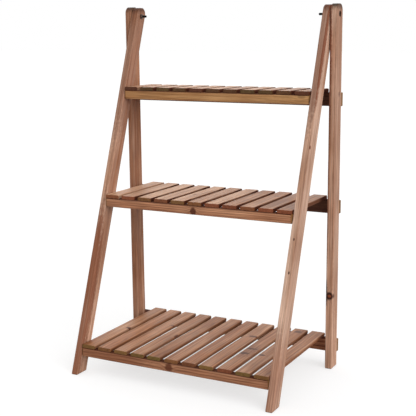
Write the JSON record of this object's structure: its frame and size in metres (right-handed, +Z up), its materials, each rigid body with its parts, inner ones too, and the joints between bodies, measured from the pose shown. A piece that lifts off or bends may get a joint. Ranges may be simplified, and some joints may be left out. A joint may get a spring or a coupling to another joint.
{
  "type": "tiered plant stand",
  "caption": "Folding ladder-shaped wooden plant stand with slatted shelves that deepen towards the floor and swing up as it closes.",
  "frame": {"origin": "on the floor, in the middle of the open stand's footprint", "axes": "+X to the stand's right seen from the front, +Y from the slanted front legs to the upright rear legs, +Z up along the rear legs"},
  "size_m": [0.6, 0.381, 0.917],
  "materials": {
    "leg_wood": "stained softwood, matt",
    "slat_wood": "stained softwood, matt",
    "rail_wood": "stained softwood, matt",
    "black_steel": "black oxide",
    "zinc_steel": "zinc plated"
  },
  "bodies": {
    "rear_frame": {"rear_leg_left": "leg_wood", "pivot_bolt_left": "black_steel", "spacer_washer_left": "zinc_steel", "nut_washer_left": "black_steel", "pivot_nut_left": "black_steel", "rear_leg_right": "leg_wood", "pivot_bolt_right": "black_steel", "spacer_washer_right": "zinc_steel", "nut_washer_right": "black_steel", "pivot_nut_right": "black_steel"},
    "front_frame": {"front_leg_left": "leg_wood", "front_leg_right": "leg_wood"},
    "bottom_shelf": {"bottom_shelf_slat_01": "slat_wood", "bottom_shelf_slat_02": "slat_wood", "bottom_shelf_slat_03": "slat_wood", "bottom_shelf_slat_04": "slat_wood", "bottom_shelf_slat_05": "slat_wood", "bottom_shelf_slat_06": "slat_wood", "bottom_shelf_slat_07": "slat_wood", "bottom_shelf_slat_08": "slat_wood", "bottom_shelf_slat_09": "slat_wood", "bottom_shelf_slat_10": "slat_wood", "bottom_shelf_slat_11": "slat_wood", "bottom_shelf_front_rail": "rail_wood", "bottom_shelf_rear_rail": "rail_wood", "bottom_shelf_pin_left": "zinc_steel", "bottom_shelf_pin_right": "zinc_steel"},
    "middle_shelf": {"middle_shelf_slat_01": "slat_wood", "middle_shelf_slat_02": "slat_wood", "middle_shelf_slat_03": "slat_wood", "middle_shelf_slat_04": "slat_wood", "middle_shelf_slat_05": "slat_wood", "middle_shelf_slat_06": "slat_wood", "middle_shelf_slat_07": "slat_wood", "middle_shelf_slat_08": "slat_wood", "middle_shelf_slat_09": "slat_wood", "middle_shelf_slat_10": "slat_wood", "middle_shelf_slat_11": "slat_wood", "middle_shelf_front_rail": "rail_wood", "middle_shelf_rear_rail": "rail_wood", "middle_shelf_pin_left": "zinc_steel", "middle_shelf_pin_right": "zinc_steel"},
    "top_shelf": {"top_shelf_slat_01": "slat_wood", "top_shelf_slat_02": "slat_wood", "top_shelf_slat_03": "slat_wood", "top_shelf_slat_04": "slat_wood", "top_shelf_slat_05": "slat_wood", "top_shelf_slat_06": "slat_wood", "top_shelf_slat_07": "slat_wood", "top_shelf_slat_08": "slat_wood", "top_shelf_slat_09": "slat_wood", "top_shelf_slat_10": "slat_wood", "top_shelf_slat_11": "slat_wood", "top_shelf_front_rail": "rail_wood", "top_shelf_rear_rail": "rail_wood", "top_shelf_pin_left": "zinc_steel", "top_shelf_pin_right": "zinc_steel"}
  },
  "joints": [
    {"name": "fold", "type": "hinge", "parent": "rear_frame", "child": "front_frame", "pos_m": [0, 0.15274, 0.8925], "axis": [1, 0, 0], "range_deg": [0, 19.9]},
    {"name": "bottom_shelf_hinge", "type": "hinge", "parent": "front_frame", "child": "bottom_shelf", "pos_m": [0, -0.15521, 0.05495], "axis": [1, 0, 0], "range_deg": [0, 63.97]},
    {"name": "middle_shelf_hinge", "type": "hinge", "parent": "front_frame", "child": "middle_shelf", "pos_m": [0, -0.02922, 0.42095], "axis": [1, 0, 0], "range_deg": [0, 58.38]},
    {"name": "top_shelf_hinge", "type": "hinge", "parent": "front_frame", "child": "top_shelf", "pos_m": [0, 0.0727, 0.69145], "axis": [1, 0, 0], "range_deg": [0, 48.49]}
  ],
  "couplings": [
    {"joint": "bottom_shelf_hinge", "follows": "fold", "ratio": 3.2143},
    {"joint": "middle_shelf_hinge", "follows": "fold", "ratio": 2.9332},
    {"joint": "top_shelf_hinge", "follows": "fold", "ratio": 2.4365}
  ]
}
